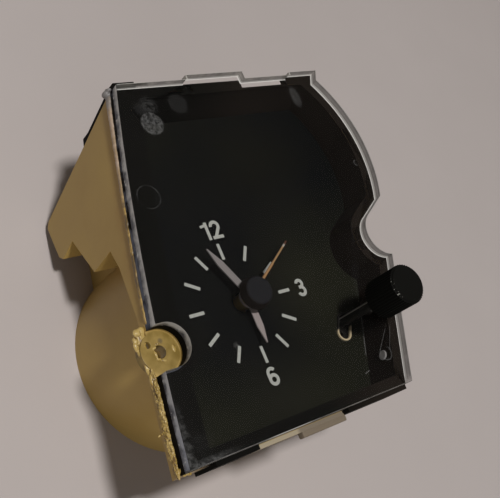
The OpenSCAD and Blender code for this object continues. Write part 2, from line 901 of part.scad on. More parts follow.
module terminal_blades() {
    color(brass) translate([0, 0, blade_end]) linear_extrude(board_z - blade_end) each_blade(0);
}

// Housing: cream moulding with the light box above, the tub behind and the screw ear at the left
screw_r = 1.2;
head_r = 2.3;
head_h = 1.4;
screw_len = 8;
boss_r = screw_r + 2.7;
boss_h = screw_len + 6;
rear_screw_at = plate_r - head_r - 1.1;
rear_screw_dirs = [45, 165, 285];
ear_r = ear_notch_r - 0.5;
ear_front = rim_z - 0.6;
horn_heel = 1.8;
horn_heel_y = top_y - horn_drop - horn_heel;
horn_back_edge = [[horn_low_y - horn_step + 0.4, horn_back + horn_low_h + 2.8],
    [horn_low_y, horn_back + horn_low_h], [horn_heel_y, horn_back],
    [horn_heel_y + 3 * horn_heel, horn_back + 3 * horn_heel_h], [far, horn_back + 3 * horn_heel_h]];
strip = [[horn_root_y, dial_z - 2.6], [horn_root_y - 6.3, dial_z + 0.9], [1.4, dial_z + 5.4]];
horn = concat([[strip[1].x, rim_z], strip[1], strip[0], [horn_root_y - 1.2, horn_back + horn_root_h],
    [horn_low_y + 0.4, horn_back + horn_shelf_h]], horn_back_edge, [[far, rim_z]]);
horn_room = concat([[horn_root_y + 0.8, far], [horn_root_y + 0.8, horn_back + horn_root_h + 0.6],
    [horn_low_y + 0.4, horn_back + horn_shelf_h]], horn_back_edge, [[far, far]]);
rim = [[-far, rim_z], [-far, strip[2].y], strip[2], strip[1], strip[0], [horn_root_y, floor_z], [far, floor_z],
    [far, rim_z]];
neck = [[-18.5, 20], [18, 20], [15, 39], [-14.6, 39]];
bottom_block = [-6, 16.5];
bottom_strip = [-21, 15];
bottom_strip_t = 2.6;
key_hole_p = ear_p + [-2.7, 2.5];
key_hole_r = 0.9;
lamp_x = 25;
lamp_hole_r = 3.6;
lamp_slope = atan2(horn_low_h, horn_heel_y - horn_low_y);
lamp_p = [(horn_heel_y + horn_low_y) / 2, horn_back + horn_low_h / 2];

module on_lamp_axis() {
    translate([lamp_x, lamp_p.x, lamp_p.y]) rotate([-lamp_slope, 0, 0]) children();
}

module lobe(z0, z1, r) {
    at(setting_p, z0) linear_extrude(z1 - z0) stadium(r, set_p - setting_p);
}

module housing_outside() {
    under_roof(0) {
        intersection() {
            slab(floor_z, rim_z, 0);
            across(rim);
        }
        slab(floor_z, rim_z, 0, left_step);
        intersection() {
            slab(0, rim_z, 0);
            across(horn);
        }
    }
    rod([0, 0], 0, mask_back, tub_r);
    linear_extrude(mask_back) polygon(neck);
    translate([bottom_block[0], -bottom_y - skirt_t, floor_z])
        cube([bottom_block[1], skirt_t + 1, rim_z - floor_z]);
    translate([bottom_strip[0], -bottom_y - skirt_t, rim_z - bottom_strip_t])
        cube([bottom_strip[1] + eps, skirt_t + 1, bottom_strip_t]);
    lobe(plate_front - lobe_wall, mask_back, lobe_r);
    rod(set_p, tip_z - push - 2, plate_front, spring_r + 2.4);
    translate([0, 0, ear_front - ear_t]) linear_extrude(ear_t) {
        intersection() {
            whole_plan(0);
            ear_notch(wall / 2);
        }
        translate(ear_p) circle(ear_r);
    }
}

module housing() {
    color(cream) {
        difference() {
            housing_outside();
            under_roof(wall) {
                slab(mask_back, rim_z + 1, wall, left_step);
                intersection() {
                    slab(0, mask_back + 1, wall);
                    across(inset(horn_room, wall));
                }
            }
            rod([0, 0], -1, plate_front, tub_r - wall);
            rod([0, 0], 0, mask_back + 1, tub_r - wall - ledge);
            lobe(plate_front, mask_back + 1, lobe_r - lobe_wall);
            translate([0, 0, wall]) linear_extrude(floor_z - 2 * wall) polygon(inset(neck, wall));
            rod(set_p, spring_seat, far, spring_r + 0.5);
            rod(set_p, tip_z - push - 0.5, far, spigot_r + run);
            rod(ear_p, 0, far, ear_hole_r);
            rod(key_hole_p, 0, far, key_hole_r);
            top_dip(dip_room);
            rivet_hole();
            on_lamp_axis() translate([0, 0, -3 * wall]) cylinder(h = 6 * wall, r = lamp_hole_r);
        }
        difference() {
            for (a = rear_screw_dirs) rod(polar(rear_screw_at, a), cover_t, cover_t + boss_h, boss_r);
            for (a = rear_screw_dirs) rod(polar(rear_screw_at, a), 0, far, screw_r + 0.02);
        }
    }
}

// Rear cover: round plate inside the tub's rim, with the connector well
module rear_cover() {
    color("#cdb47c") difference() {
        union() {
            rod([0, 0], 0, cover_t, plate_r);
            translate([well_p.x - well.x / 2 - well_wall, well_p.y - well.y / 2 - well_wall, 0])
                cube([well.x + 2 * well_wall, well.y + 2 * well_wall, well_depth + well_wall]);
        }
        translate([well_p.x - well.x / 2, well_p.y - well.y / 2, -1]) cube([well.x, well.y, well_depth + 1]);
        linear_extrude(far) each_blade(run);
        for (a = rear_screw_dirs) {
            rod(polar(rear_screw_at, a), -1, far, screw_r + 0.2);
            rod(polar(rear_screw_at, a), -1, head_h, head_r + 0.2);
        }
    }
}

module cover_screws() {
    recess = 0.2;
    color(steel) for (a = rear_screw_dirs) {
        rod(polar(rear_screw_at, a), recess, head_h, head_r);
        rod(polar(rear_screw_at, a), recess, cover_t + screw_len, screw_r);
    }
}

// Lamp: twist-in holder through the light box's slanted back, with its bulb inside
module lamp_holder() {
    flange_r = 4.8;
    grip = [7, 1.6, 1.6];
    color("#e8e2cf") on_lamp_axis() difference() {
        union() {
            translate([0, 0, -1.4]) cylinder(h = 1.4, r = flange_r);
            cylinder(h = wall + 2, r = lamp_hole_r - run);
            translate([-grip.x / 2, -grip.y / 2, -1.4 - grip.z]) cube(grip);
        }
        translate([0, 0, 1]) cylinder(h = far, r = 2.3);
    }
}

module lamp_bulb() {
    bulb_r = 2.2;
    bulb_len = 10;
    color("#f4f1e4", 0.6) on_lamp_axis() translate([0, 0, 1]) {
        cylinder(h = bulb_len - bulb_r, r = bulb_r);
        translate([0, 0, bulb_len - bulb_r]) sphere(bulb_r);
    }
}

lens();
mask();
mask_rivet();
dial_plate();
hour_hand();
minute_hand();
second_hand();
hand_cap();
set_knob();
set_shaft();
set_pinion();
shaft_bush();
spring_washer();
set_spring();
setting_wheel();
setting_stud();
motion_wheel();
motion_stud();
hour_wheel();
hour_tube();
cannon_pinion();
cannon_tube();
centre_wheel();
centre_tube();
third_wheel();
third_arbor();
second_wheel();
second_arbor();
intermediate_wheel();
intermediate_arbor();
rotor_pinion();
rotor_magnet();
rotor_arbor();
stator();
stator_posts();
motor_coil();
front_plate();
back_plate();
pillars();
circuit_board();
board_posts();
driver_chip();
quartz_crystal();
capacitor();
terminal_blades();
lamp_holder();
lamp_bulb();
housing();
rear_cover();
cover_screws();
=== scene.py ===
# Frame
# The solids of the clock come in as they were packed, each on its own body.
# A solid's box can be read off its corners.
import json
import math
import random

import bpy
from mathutils import Matrix, Vector

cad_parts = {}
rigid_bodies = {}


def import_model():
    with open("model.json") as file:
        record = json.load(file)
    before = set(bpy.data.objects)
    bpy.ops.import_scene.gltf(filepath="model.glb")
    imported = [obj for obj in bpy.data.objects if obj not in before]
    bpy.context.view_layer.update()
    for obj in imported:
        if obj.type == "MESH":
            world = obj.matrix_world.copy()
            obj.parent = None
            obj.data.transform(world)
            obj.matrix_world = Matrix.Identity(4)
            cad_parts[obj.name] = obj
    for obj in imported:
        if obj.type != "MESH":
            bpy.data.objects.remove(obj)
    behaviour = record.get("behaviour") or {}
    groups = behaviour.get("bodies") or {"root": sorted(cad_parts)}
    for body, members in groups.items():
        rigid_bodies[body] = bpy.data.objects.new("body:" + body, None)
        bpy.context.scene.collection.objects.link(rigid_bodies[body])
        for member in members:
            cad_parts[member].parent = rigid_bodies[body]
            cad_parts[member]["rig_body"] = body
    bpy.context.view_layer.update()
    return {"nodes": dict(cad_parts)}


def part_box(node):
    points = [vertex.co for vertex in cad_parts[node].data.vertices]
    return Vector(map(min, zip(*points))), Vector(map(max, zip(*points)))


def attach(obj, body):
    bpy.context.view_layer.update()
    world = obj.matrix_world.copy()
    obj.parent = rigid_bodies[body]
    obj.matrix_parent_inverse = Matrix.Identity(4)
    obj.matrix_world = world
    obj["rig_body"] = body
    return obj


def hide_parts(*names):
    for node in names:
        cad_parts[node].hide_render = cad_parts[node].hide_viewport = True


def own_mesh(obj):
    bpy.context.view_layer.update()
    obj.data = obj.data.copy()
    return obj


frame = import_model()
solids = frame["nodes"]
mm = 0.001


# Housing
# One moulding in cream plastic: the rim behind the mask, the wedge of the light box, the round
# tub of the movement and the screw ear. Its corners are rounded off as they leave a mould.
class Flow:
    """A socket of a material; sums on it add Math nodes."""

    def __init__(self, tree, socket=None):
        self.tree = tree
        self.socket = socket

    def add(self, kind, settings, sockets, out=0):
        made = self.tree.nodes.new("ShaderNode" + kind)
        for key, value in settings.items():
            if key == "stops":
                steps = made.color_ramp.elements
                while len(steps) < len(value):
                    steps.new(0.5)
                for step, (where, shade) in zip(steps, value):
                    step.position = where
                    step.color = shade
            else:
                setattr(made, key, value)
        for key, value in sockets.items():
            if isinstance(value, Flow):
                self.tree.links.new(value.socket, made.inputs[key])
            else:
                made.inputs[key].default_value = value
        return Flow(self.tree, made.outputs[out] if len(made.outputs) else None)

    def sum(self, operation, first, second, hold=False):
        return self.add("Math", {"operation": operation, "use_clamp": hold}, {0: first, 1: second})

    def __add__(self, other):
        return self.sum("ADD", self, other)

    def __radd__(self, other):
        return self.sum("ADD", other, self)

    def __sub__(self, other):
        return self.sum("SUBTRACT", self, other)

    def __rsub__(self, other):
        return self.sum("SUBTRACT", other, self)

    def __mul__(self, other):
        return self.sum("MULTIPLY", self, other)

    def __truediv__(self, other):
        return self.sum("DIVIDE", self, other)

    def __abs__(self):
        return self.sum("ABSOLUTE", self, 0.0)

    def held(self):
        return self.sum("ADD", self, 0.0, True)

    def or_more(self, other):
        return self.sum("MAXIMUM", self, other)


def paint(red, green, blue):
    """A colour as it is seen, 0 to 255, as linear light."""
    def line(value):
        value /= 255
        return value / 12.92 if value <= 0.04045 else ((value + 0.055) / 1.055) ** 2.4
    return (line(red), line(green), line(blue), 1.0)


def start_finish(name):
    """A new empty material, and the place on the piece as its first socket."""
    made = bpy.data.materials.new(name)
    made.use_nodes = True
    made.node_tree.nodes.clear()
    return made, Flow(made.node_tree).add("TexCoord", {}, {}, "Object")


def noise(place, scale, detail=3.0, rough=0.5):
    """Cloudy values from 0 to 1."""
    return place.add("TexNoise", {}, {"Vector": place, "Scale": scale, "Detail": detail, "Roughness": rough})


def between(mask, low, high):
    """A colour from low to high as the mask goes from 0 to 1."""
    return mask.add("Mix", {"data_type": "RGBA"}, {0: mask, 6: low, 7: high}, 2)


def spread(value, low, high):
    """A value's range from low to high drawn out to 0 to 1, held there."""
    return value.add("MapRange", {}, {"Value": value, 1: low, 2: high})


def bumped(height, strength, depth):
    """A normal that follows small heights."""
    return height.add("Bump", {}, {"Height": height, "Strength": strength, "Distance": depth})


def close_finish(sockets):
    """Ends a material with one skin of these sockets."""
    flow = next(value for value in sockets.values() if isinstance(value, Flow))
    skin = flow.add("BsdfPrincipled", {}, sockets)
    flow.add("OutputMaterial", {}, {"Surface": skin})


def alone(piece):
    """Makes one piece the only selected one."""
    bpy.ops.object.select_all(action="DESELECT")
    piece.select_set(True)
    bpy.context.view_layer.objects.active = piece


def merged_copy(node, name):
    """A merged copy of a solid, which is shown in the solid's place."""
    piece = bpy.data.objects.new(name, solids[node].data.copy())
    bpy.context.scene.collection.objects.link(piece)
    alone(piece)
    bpy.ops.mesh.customdata_custom_splitnormals_clear()
    bpy.ops.object.mode_set(mode="EDIT")
    bpy.ops.mesh.select_all(action="SELECT")
    bpy.ops.mesh.remove_doubles(threshold=2e-6)
    bpy.ops.object.mode_set(mode="OBJECT")
    piece.data.materials.clear()
    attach(piece, solids[node]["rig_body"])
    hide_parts(node)
    return piece


def rounded_copy(node, name, rounding, steps=2, limit=35):
    """A merged copy with rounded edges."""
    piece = merged_copy(node, name)
    bpy.ops.object.mode_set(mode="EDIT")
    bpy.ops.mesh.select_all(action="SELECT")
    bpy.ops.mesh.dissolve_limited(angle_limit=math.radians(0.6))
    bpy.ops.object.mode_set(mode="OBJECT")
    edge = piece.modifiers.new("rounding", "BEVEL")
    edge.width = rounding
    edge.segments = steps
    edge.limit_method = "ANGLE"
    edge.angle_limit = math.radians(limit)
    edge.use_clamp_overlap = False
    bpy.ops.object.modifier_apply(modifier="rounding")
    bpy.ops.object.shade_smooth_by_angle(angle=math.radians(limit))
    flat = piece.modifiers.new("flat_sides", "WEIGHTED_NORMAL")
    flat.keep_sharp = True
    bpy.ops.object.modifier_apply(modifier="flat_sides")
    return piece


def moulded(name, light, dark, gloss, grain=2200, bite=0.08, shine=0.5):
    """Moulded plastic: a slow drift of colour, a fine skin and a few duller patches."""
    made, place = start_finish(name)
    drift = noise(place, 45.0, 3.0)
    skin = noise(place, grain, 2.0)
    patches = spread(noise(place, 160.0, 4.0), 0.45, 0.75)
    close_finish({
        "Base Color": between(spread(drift + skin * 0.15, 0.35, 0.75), dark, light),
        "Roughness": gloss + patches * 0.12 + skin * 0.06,
        "Normal": bumped(skin, bite, 0.00012),
        "Specular IOR Level": shine,
    })
    return made


def axes(place):
    """The place's x, y and z as three sockets."""
    first = place.add("SeparateXYZ", {}, {"Vector": place}, "X")
    return [Flow(first.tree, way) for way in first.socket.node.outputs]


def away(place, middle):
    """Distance on the plan from a point, all in mm."""
    flat = place.add("Mapping", {}, {"Vector": place, "Scale": (1 / mm, 1 / mm, 0.0)})
    return flat.add("VectorMath", {"operation": "DISTANCE"}, {0: flat, 1: (middle[0], middle[1], 0.0)}, "Value")


ear_middle = (-36.2, -8.4)
ear_radius = 5.9


def aged_cream(name):
    """Cream plastic that has yellowed, browner under the rim, with painted shade in grey on the bottom wall,
    darker on the ear and with painted shade on a dent in its right flank.
    """
    made, place = start_finish(name)
    x, y, z = axes(place)
    drift = noise(place, 45.0, 3.0)
    skin = noise(place, 2200.0, 2.0)
    colour = between(spread(drift + skin * 0.15, 0.35, 0.75), paint(158, 129, 70), paint(170, 142, 82))
    # Browner just under the rim, over the upper part of the housing.
    rim_brown = spread(z + noise(place, 120.0) * (6 * mm), 52 * mm, 57 * mm) * spread(y, -5 * mm, 20 * mm)
    colour = between(rim_brown * 0.45, colour, paint(138, 102, 46))
    # The bottom wall's grey is painted shade, darker where the rest stands out from it.
    dust = between(spread(x, -6.6 * mm, -5.4 * mm), paint(146, 134, 112), paint(110, 99, 84))
    colour = between(spread(y, -38.3 * mm, -38.8 * mm), colour, dust)
    high = spread(z, 50 * mm, 51 * mm)
    ear = spread(away(place, ear_middle), ear_radius + 0.5, ear_radius - 0.5) * high
    handled = between(spread(noise(place, 260.0, 3.0), 0.35, 0.65), paint(116, 95, 44), paint(140, 117, 64))
    colour = between(ear, colour, handled)
    # The first spot is a dark smear on the ear; the second is painted shade on a dent in the ear's right flank.
    for middle, outer, inner, share, stain_and_shade in (((-35.0, -5.7), 0.9, 0.4, 0.7, paint(84, 74, 56)),
                                               ((-31.4, -10.4), 1.8, 0.8, 0.6, paint(112, 90, 40))):
        colour = between(spread(away(place, middle), outer, inner) * high * share, colour, stain_and_shade)
    close_finish({
        "Base Color": colour,
        "Roughness": 0.44 + spread(drift, 0.45, 0.75) * 0.12 + skin * 0.06 - ear * 0.16,
        "Normal": bumped(skin, 0.08, 0.00012),
        "Specular IOR Level": 0.3,
    })
    return made


housing = rounded_copy("housing", "housing_shell", 0.07 * mm)
housing.data.materials.append(aged_cream("cream_moulding"))

# Bottom rest
# A short square rib moulded on the housing's bottom wall, on which the clock sits in its panel.
# Its grey-brown colour is painted shade. Its corners are rounded.
rest_middle = (3.2 * mm, -40.3 * mm, 53.2 * mm)
rest_size = (16.2 * mm, 2.2 * mm, 2.4 * mm)
bpy.ops.object.select_all(action="DESELECT")
bpy.ops.mesh.primitive_cube_add(size=1, location=rest_middle, scale=rest_size)
rest = bpy.context.object
rest.name = "bottom_rest"
bpy.ops.object.transform_apply(location=True, rotation=False, scale=True)
bpy.ops.object.mode_set(mode="EDIT")
bpy.ops.mesh.select_all(action="SELECT")
bpy.ops.mesh.bevel(offset=0.35 * mm, segments=3, affect="EDGES")
bpy.ops.object.mode_set(mode="OBJECT")
bpy.ops.object.shade_smooth_by_angle(angle=math.radians(40))
# The rib's grey-brown is painted shade.
rest.data.materials.append(moulded("dusty_cream", paint(112, 101, 86), paint(104, 92, 77), 0.6, 2200, 0.08, 0.2))
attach(rest, "case")

# Torn edge
# The housing has been pulled off other plastic: a crust of yellow scraps stands on the ear and
# down the left rim. Each scrap is a drawn-out lump, and the lumps are fused and roughened.
chance = random.Random(7)


def crust(name, lumps, grain, rough, tilt, smooth):
    """Lumps at (x, y, z, half sizes) in mm, grown together to one ragged piece."""
    parts = []
    for x, y, z, half in lumps:
        bpy.ops.object.select_all(action="DESELECT")
        bpy.ops.mesh.primitive_ico_sphere_add(subdivisions=2, radius=1, location=(x * mm, y * mm, z * mm),
                                              rotation=[chance.uniform(-tilt, tilt) for turn in range(3)],
                                              scale=[size * mm for size in half])
        parts.append(bpy.context.object)
    for part in parts:
        part.select_set(True)
    piece = parts[0]
    bpy.context.view_layer.objects.active = piece
    bpy.ops.object.join()
    bpy.ops.object.transform_apply(location=True, rotation=True, scale=True)
    fuse = piece.modifiers.new("fuse", "REMESH")
    fuse.mode = "VOXEL"
    fuse.voxel_size = grain * mm
    bpy.ops.object.modifier_apply(modifier="fuse")
    bpy.ops.object.mode_set(mode="EDIT")
    bpy.ops.mesh.select_all(action="SELECT")
    bpy.ops.transform.vertex_random(offset=rough * mm, uniform=0.2, normal=0.8, seed=4)
    bpy.ops.mesh.vertices_smooth(factor=0.5, repeat=smooth)
    bpy.ops.object.mode_set(mode="OBJECT")
    bpy.ops.object.shade_smooth_by_angle(angle=math.radians(50))
    piece.name = name
    piece.data.materials.clear()
    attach(piece, "case")
    return piece


edge_middle = (618.5, -128.4)
edge_radius = 668.7


def left_edge(y):
    """The plan's left edge in mm, an arc of wide radius."""
    return edge_middle[0] - math.sqrt(edge_radius ** 2 - (y - edge_middle[1]) ** 2)


scraps = [(-44.0, -27.7, 53.2, (1.3, 0.24, 0.18)), (-43.5, -37.4, 55.0, (0.5, 0.7, 0.8)),
          (-43.0, -38.4, 55.2, (0.7, 0.5, 0.8)), (-42.0, -38.8, 55.6, (0.6, 0.35, 0.5))]
y = -13.2
while y > -38.0:
    scraps.append((left_edge(y) - 0.2 + chance.uniform(-0.12, 0.12), y, 54 + chance.uniform(-0.2, 0.2),
                   (chance.uniform(0.4, 0.55), 1.6, chance.uniform(0.9, 1.2))))
    for crumb in range(4):
        size = chance.uniform(0.14, 0.34)
        scraps.append((left_edge(y) - chance.uniform(0.35, 0.75), y + chance.uniform(-0.5, 0.5),
                       chance.uniform(53, 55.4),
                       (size, size * chance.uniform(1.0, 2.6), size * chance.uniform(0.8, 1.4))))
    y -= 0.7
torn = crust("torn_edge", scraps, 0.12, 0.14, 0.3, 1)
lobes = [(-39.4, -3.8, 52.7, (1.9, 1.9, 0.7)), (-39.9, -6.4, 52.7, (1.5, 2.2, 0.6)),
         (-39.5, -9.6, 52.8, (1.3, 2.5, 0.6)), (-39.9, -12.6, 53.0, (1.1, 2.4, 0.6)),
         (-38.5, -1.9, 52.9, (1.5, 1.3, 0.9)), (-39.9, -2.0, 53.0, (1.2, 1.1, 0.8)),
         (-41.2, -3.7, 53.0, (0.8, 1.0, 0.7)), (-41.6, -5.4, 53.0, (0.7, 1.3, 0.6)),
         (-41.1, -7.4, 53.0, (0.7, 1.5, 0.6)), (-40.8, -10.0, 53.0, (0.6, 2.2, 0.6)),
         (-40.8, -12.7, 53.2, (0.7, 2.2, 0.6)), (-41.3, -15.0, 53.6, (0.6, 2.2, 0.7)),
         (-37.7, -8.8, 54.0, (0.45, 1.2, 0.5)), (-37.4, -10.2, 54.0, (0.8, 0.45, 0.4)),
         (-36.0, -10.8, 53.9, (1.0, 0.4, 0.4)), (-37.5, -7.1, 53.9, (0.8, 0.4, 0.4)),
         (-36.3, -6.3, 53.8, (1.1, 0.35, 0.35)), (-31.9, -8.2, 53.6, (0.8, 1.6, 0.6))]
ear_scrap = crust("torn_ear", lobes, 0.14, 0.08, 0.25, 2)


def torn_cream(name):
    """Freshly torn plastic: brighter and wetter than the skin, brown in its pits, with painted shade in the gap
    between the ear's left lobes.
    """
    made, place = start_finish(name)
    drawn = place.add("Mapping", {}, {"Vector": place, "Scale": (1.0, 0.3, 1.0)})
    pits = noise(drawn, 1100.0, 3.0)
    tint = noise(drawn, 400.0, 2.0)
    colour = between(spread(tint, 0.35, 0.65), paint(150, 124, 62), paint(178, 154, 96))
    # Painted shade in the gap between the ear's left lobes.
    gap_shade = spread(away(place, (-40.9, -3.2)), 0.6, 0.35)
    close_finish({
        "Base Color": between(spread(pits, 0.52, 0.66).or_more(gap_shade), colour, paint(100, 74, 32)),
        "Roughness": 0.3 + pits * 0.2,
        "Normal": bumped(pits, 0.35, 0.0003),
    })
    return made


for piece in (torn, ear_scrap):
    piece.data.materials.append(torn_cream("torn_" + piece.name))

# Glue bead
# A hardened bead of clear glue, stained pink and cream, runs down the left edge under the lens
# and thins out towards the ear.
bead = [(-22.4, 65, 54.6, (1, 1, 1.5)), (-21.9, 65.4, 56, (0.8, 0.6, 1.1))]
y = 65.4
while y > -0.6:
    fat = 0.26 + 0.8 * (max(0, y - 28) / 37) ** 1.2
    tall = max(0.65, 1.15 * fat)
    bead.append((left_edge(y) + 0.05 - 0.2 * fat + chance.uniform(-0.07, 0.07), y,
                 55.9 - tall + chance.uniform(-0.12, 0.12), (0.1 + 0.45 * fat, 1.3, tall)))
    y -= 0.6
glue = crust("glue_bead", bead, 0.16, 0.05, 0.04, 3)


def old_glue(name):
    """Cloudy glue: grey at the top, pinkish below, and thin and brown towards the ear."""
    made, place = start_finish(name)
    y = axes(place)[1]
    cloud = noise(place, 350.0, 3.0)
    colour = between(spread(cloud, 0.35, 0.65), paint(142, 120, 92), paint(160, 140, 122))
    thin = between(spread(cloud, 0.42, 0.58), paint(92, 74, 44), paint(152, 124, 68))
    colour = between(spread(y, 30 * mm, 42 * mm), thin, colour)
    grey = between(cloud, paint(92, 89, 88), paint(132, 127, 124))
    close_finish({
        "Base Color": between(spread(y + cloud * (6 * mm), 62 * mm, 66 * mm), colour, grey),
        "Roughness": 0.35 + cloud * 0.2,
        "Normal": bumped(cloud, 0.2, 0.0002),
    })
    return made


glue.data.materials.append(old_glue("old_glue"))

# Rear cover and screws
# A pressed-in disc of the same plastic closes the tub, with a well for the plug, and three
# slotted steel screws hold it.
cover = rounded_copy("rear_cover", "rear_cover_shell", 0.2 * mm)
cover.data.materials.append(moulded("cover_moulding", paint(172, 144, 84), paint(160, 131, 72), 0.48))


def streaked(place, scales):
    """Noise drawn out along the axis with the smallest scale."""
    return noise(place.add("Mapping", {}, {"Vector": place, "Scale": scales}), 1.0, 2.0)


def metal(name, bright, dull, gloss, streaks):
    """Worked metal: streaks from the tool, and a dull tarnish in patches."""
    made, place = start_finish(name)
    tool = streaked(place, streaks)
    patches = spread(noise(place, 220.0, 4.0), 0.42, 0.8) * 0.5
    close_finish({
        "Base Color": between(patches, bright, dull),
        "Metallic": 1.0 - patches * 0.25,
        "Roughness": gloss + patches * 0.3 + tool * 0.12,
        "Normal": bumped(tool, 0.12, 0.00005),
    })
    return made


def dress(finish, *nodes):
    """Gives solids that keep their own shape a finish."""
    for node in nodes:
        solids[node].data.materials.clear()
        solids[node].data.materials.append(finish)


steel = metal("turned_steel", paint(196, 196, 199), paint(120, 117, 112), 0.26, (300.0, 300.0, 5000.0))
dress(steel, "cover_screws")

# Movement frame
# Two stamped brass plates held apart by turned steel pillars carry the wheels.
brass = metal("stamped_brass", paint(214, 184, 106), paint(150, 118, 58), 0.24, (700.0, 900.0, 700.0))
dress(brass, "front_plate", "back_plate")
dress(steel, "pillars")

# Going train
# Stamped brass wheels on steel arbors; the intermediate wheel and the rotor pinion are white
# plastic, which runs quietly.
dress(brass, "centre_wheel", "third_wheel", "second_wheel")
dress(steel, "centre_tube", "third_arbor", "second_arbor", "intermediate_arbor", "rotor_arbor")
white = moulded("white_moulding", paint(226, 222, 208), paint(206, 200, 184), 0.45)
dress(white, "intermediate_wheel", "rotor_pinion")

# Stepping motor
# A laminated steel stator on brass posts, a coil of enamelled wire, and a ground magnet.
dress(metal("stator_sheet", paint(150, 150, 152), paint(96, 92, 88), 0.38, (200.0, 4000.0, 200.0)), "stator")
dress(brass, "stator_posts")
dress(metal("ground_magnet", paint(96, 95, 93), paint(62, 60, 58), 0.45, (900.0, 900.0, 200.0)), "rotor_magnet")


def wound_wire(name):
    """Enamelled wire laid turn by turn along X, with painted shade in the grooves between the turns."""
    made, place = start_finish(name)
    wire = 0.18 * mm
    turns = place.sum("SINE", axes(place)[0] * (2 * math.pi / wire), 0.0)
    age = noise(place, 300.0, 3.0)
    # The colour darkens with the grooves between the turns: painted shade.
    close_finish({
        "Base Color": between(spread(turns * 0.3 + age, 0.1, 0.9), paint(112, 48, 20), paint(196, 104, 52)),
        "Metallic": 0.6 + age * 0.3,
        "Roughness": 0.3 + age * 0.15,
        "Normal": bumped(turns, 0.6, 0.00005),
    })
    return made


dress(wound_wire("coil_wire"), "motor_coil")

# Circuit board
# A brown laminate with its driver chip, crystal can and capacitor, on steel posts, and three
# brass blades that stand in the plug well.
dress(moulded("board_laminate", paint(160, 126, 66), paint(128, 98, 46), 0.55, 3000, 0.2), "circuit_board")
dress(moulded("chip_resin", paint(44, 44, 45), paint(30, 30, 31), 0.5, 4000, 0.2), "driver_chip")
dress(steel, "quartz_crystal", "board_posts")
dress(moulded("capacitor_sleeve", paint(44, 66, 128), paint(32, 50, 104), 0.3), "capacitor")
dress(brass, "terminal_blades")

# Dial lamp
# A white twist-in holder in the back of the light box, with a small wedge bulb.
dress(white, "lamp_holder")


def close_clear(cover, sockets):
    """Ends a clear material, of which the skin hides the share given by cover."""
    skin = cover.add("BsdfPrincipled", {}, sockets)
    clear = cover.add("BsdfTransparent", {}, {})
    mixed = cover.add("MixShader", {}, {0: cover, 1: clear, 2: skin})
    cover.add("OutputMaterial", {}, {"Surface": mixed})


def bulb_glass(name):
    """Thin clear glass, greyed a little by use."""
    made, place = start_finish(name)
    grey = noise(place, 400.0, 3.0)
    close_clear(0.25 + grey * 0.2, {
        "Base Color": between(grey, paint(238, 236, 228), paint(206, 200, 188)),
        "Roughness": 0.06 + grey * 0.06,
    })
    return made


dress(bulb_glass("bulb_glass"), "lamp_bulb")

# Setting and motion work
# The shaft's brass pinion, the spring and washer that lift it, and the brass wheels on steel
# studs that carry its turn to the hour and minute hands. The spring is a merged copy of its
# solid, in a mesh of its own.
dress(brass, "set_pinion", "setting_wheel", "motion_wheel", "hour_wheel", "hour_tube", "cannon_pinion")
dress(steel, "spring_washer", "setting_stud", "motion_stud", "cannon_tube")
spring = merged_copy("set_spring", "knob_spring")
bpy.ops.object.shade_smooth_by_angle(angle=math.radians(50))
spring.data.materials.append(steel)
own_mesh(spring)

# Mask
# A tray in black plastic: a flange under the lens, walls down to the dial, skirts along the
# bottom and a clip at the top left.
def mask_plastic(name):
    """Black plastic, browned by the sun on the right, with a blue-grey haze on the left edge above the ear."""
    made, place = start_finish(name)
    x, y, z = axes(place)
    drift = spread(noise(place, 45.0, 3.0), 0.35, 0.75)
    grain = noise(place, 2600.0, 2.0)
    side = spread(away(place, edge_middle), edge_radius - 1.1, edge_radius - 0.7)
    side = side * spread(z, 54.4 * mm, 54.8 * mm) * spread(y, -3 * mm, -1 * mm)
    by_ear = spread(y, 22 * mm, 12 * mm) * 0.3
    haze = side * spread(noise(place, 260.0, 3.0) + by_ear, 0.5, 0.72) * 0.8
    colour = between(haze, between(drift, paint(8, 8, 6), paint(12, 11, 9)), paint(96, 100, 112))
    brown = between(drift, paint(24, 20, 16), paint(31, 26, 22))
    close_finish({
        "Base Color": between(spread(x, 4 * mm, 26 * mm), colour, brown),
        "Roughness": 0.6 + grain * 0.1,
        "Normal": bumped(grain, 0.03, 0.00012),
        "Specular IOR Level": 0.04,
    })
    return made


mask = rounded_copy("mask", "mask_tray", 0.08 * mm)
mask.data.materials.append(mask_plastic("mask_plastic"))
rivet = rounded_copy("mask_rivet", "mask_rivet_head", 0.2 * mm)
nylon = moulded("rivet_nylon", paint(132, 129, 126), paint(112, 109, 107), 0.5, 1500, 0.2, 0.2)
rivet.data.materials.append(nylon)

# Dial
# Black printed sheet on the floor of the mask, with white ticks and the numbers 12, 3 and 6.
dial_top = 46.0 * mm


def dial_paint(name):
    """Matt black ink that has drifted to brown and olive, with a pale smear by the seven tick."""
    made, place = start_finish(name)
    x, y = axes(place)[:2]
    drift = spread(noise(place, 28.0, 2.0), 0.35, 0.65)
    grain = noise(place, 1800.0, 2.0)
    aged = (spread(x, 6 * mm, 26 * mm) * spread(y, 32 * mm, 6 * mm)).or_more(spread(y, -12 * mm, -28 * mm))
    colour = between(aged, between(drift, paint(7, 8, 8), paint(13, 13, 9)),
                     between(drift, paint(21, 21, 15), paint(26, 26, 18)))
    smear = spread(away(place, (-7.4, -11.5)), 1.5, 0.2) * spread(noise(place, 900.0, 3.0), 0.4, 0.7)
    close_finish({
        "Base Color": between(smear * 0.5, colour, paint(120, 118, 114)),
        "Roughness": 0.65 + grain * 0.1,
        "Specular IOR Level": 0.03,
    })
    return made


dress(dial_paint("dial_paint"), "dial_plate")


def printed(name):
    """White ink, a little uneven, that stands just proud of the sheet."""
    made, place = start_finish(name)
    thin = spread(noise(place, 1500.0, 3.0), 0.5, 0.8)
    close_finish({
        "Base Color": between(thin, paint(152, 152, 145), paint(132, 132, 126)),
        "Roughness": 0.6 + thin * 0.2,
        "Specular IOR Level": 0.2,
    })
    return made


